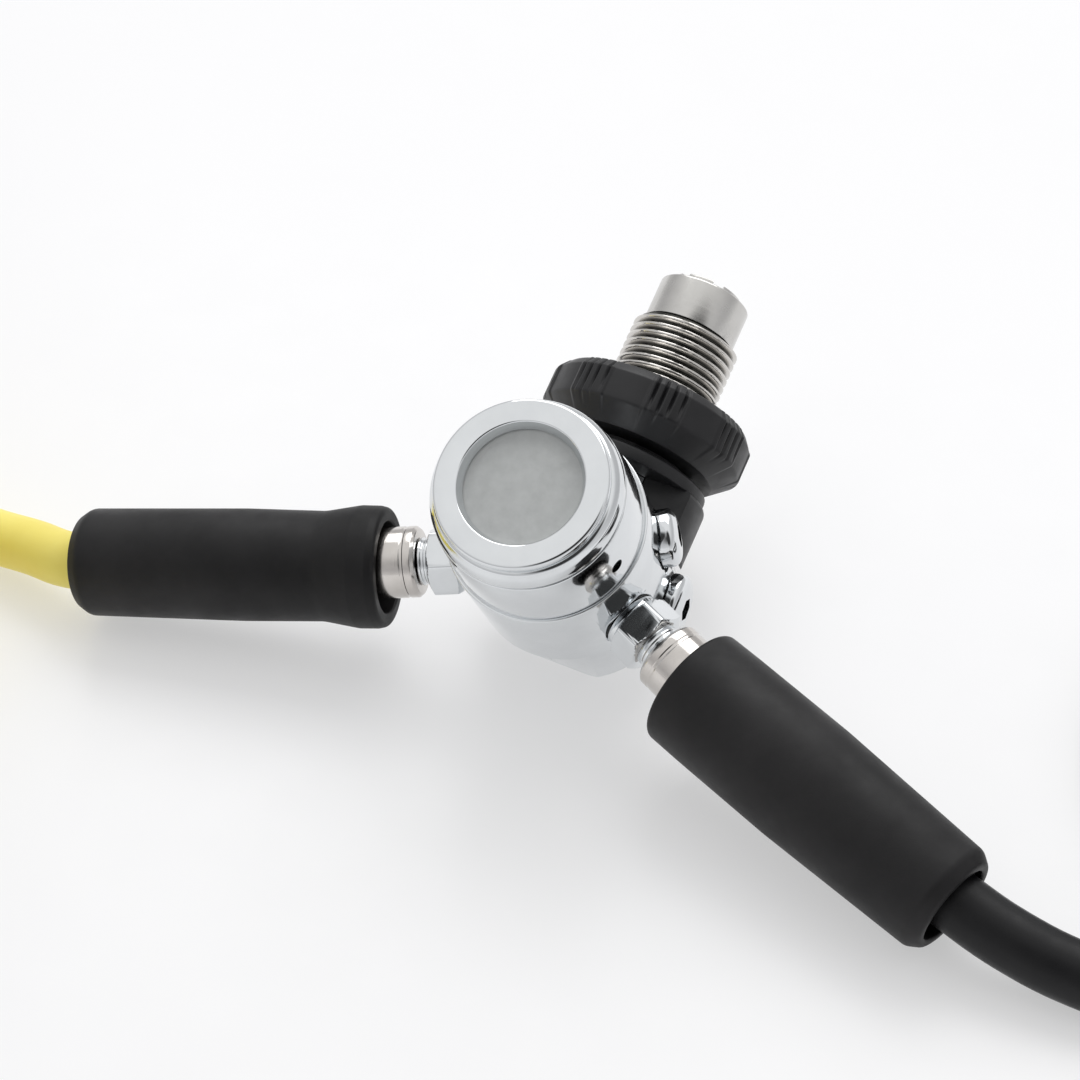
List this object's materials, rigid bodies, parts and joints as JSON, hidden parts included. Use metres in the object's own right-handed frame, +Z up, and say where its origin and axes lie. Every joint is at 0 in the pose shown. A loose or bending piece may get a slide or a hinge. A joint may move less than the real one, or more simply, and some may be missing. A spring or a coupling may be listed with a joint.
{
  "type": "scuba regulator set",
  "caption": "First stage of a diving regulator with a threaded cylinder connector, plugged spare ports and two low-pressure hoses in rubber sleeves, their spare length coiled.",
  "frame": {"origin": "on the ground under the middle of the box of the set without its loose hoses", "axes": "+X runs from the yellow hose's coil to the black hose's coil, +Y away from the viewer, +Z up"},
  "size_m": [0.4906, 0.1672, 0.0718],
  "materials": {
    "chrome": "bright chromium plate on brass",
    "nickel": "warm bright nickel plate on brass",
    "stainless": "turned stainless steel",
    "brass": "machined brass",
    "spring_steel": "drawn spring wire",
    "black_plastic": "fine-grained moulded black plastic",
    "black_rubber": "matte moulded black rubber",
    "seal_rubber": "black seal rubber",
    "yellow_hose": "satin yellow hose cover",
    "black_hose": "satin black hose cover",
    "grey_membrane": "matte grey moulded membrane",
    "white_plastic": "white acetal",
    "filter_bronze": "sintered bronze"
  },
  "bodies": {
    "first_stage": {"main_body": "chrome", "spring_housing": "chrome", "end_cap": "chrome", "low_pressure_plug_left": "chrome", "low_pressure_plug_right": "chrome", "high_pressure_plug_left": "chrome", "high_pressure_plug_right": "chrome", "yellow_hose_fitting": "nickel", "black_hose_fitting": "nickel", "yellow_hose_ferrule": "nickel", "black_hose_ferrule": "nickel", "yellow_end_ferrule": "nickel", "black_end_ferrule": "nickel", "yellow_end_stem": "nickel", "black_end_stem": "nickel", "din_retainer": "stainless", "membrane_retainer": "stainless", "diaphragm_washer": "stainless", "spring_adjuster": "brass", "valve_orifice": "brass", "balance_plug": "brass", "main_spring": "spring_steel", "poppet_spring": "spring_steel", "filter_circlip": "spring_steel", "din_saddle": "black_plastic", "din_clamp_washer": "black_plastic", "yellow_hose_sleeve": "black_rubber", "black_hose_sleeve": "black_rubber", "yellow_coil_tie": "black_rubber", "black_coil_tie": "black_rubber", "din_o_ring": "seal_rubber", "low_pressure_plug_o_ring_left": "seal_rubber", "low_pressure_plug_o_ring_right": "seal_rubber", "high_pressure_plug_o_ring_left": "seal_rubber", "high_pressure_plug_o_ring_right": "seal_rubber", "yellow_fitting_o_ring": "seal_rubber", "black_fitting_o_ring": "seal_rubber", "yellow_end_o_ring": "seal_rubber", "black_end_o_ring": "seal_rubber", "yellow_hose": "yellow_hose", "yellow_hose_coil_lower": "yellow_hose", "yellow_hose_coil_upper": "yellow_hose", "black_hose": "black_hose", "black_hose_coil_lower": "black_hose", "black_hose_coil_upper": "black_hose", "ambient_membrane": "grey_membrane", "inlet_filter": "filter_bronze"},
    "handwheel": {"din_handwheel": "black_plastic", "din_thread_stem": "stainless"},
    "valve_train": {"main_diaphragm": "black_rubber", "spring_pad": "brass", "load_transmitter": "white_plastic", "valve_lifter": "stainless", "valve_poppet": "brass"},
    "yellow_swivel": {"yellow_swivel_nut": "nickel"},
    "black_swivel": {"black_swivel_nut": "nickel"}
  },
  "joints": [
    {"name": "handwheel_spin", "type": "hinge", "parent": "first_stage", "child": "handwheel", "pos_m": [0.02974, 0.04223, 0.03467], "axis": [0.4059, 0.7615, 0.5054], "continuous": true},
    {"name": "valve_slide", "type": "slide", "parent": "first_stage", "child": "valve_train", "axis": [-0.2115, -0.4597, 0.8625], "range_m": [-0.0004, 0.0003], "stiffness_N_per_m": 2000},
    {"name": "yellow_swivel_spin", "type": "hinge", "parent": "first_stage", "child": "yellow_swivel", "pos_m": [-0.12538, -0.02339, 0.02191], "axis": [0.6428, 0.766, 0], "continuous": true},
    {"name": "black_swivel_spin", "type": "hinge", "parent": "first_stage", "child": "black_swivel", "pos_m": [0.21723, 0.0209, 0.02191], "axis": [-0.7071, 0.7071, 0], "continuous": true}
  ]
}
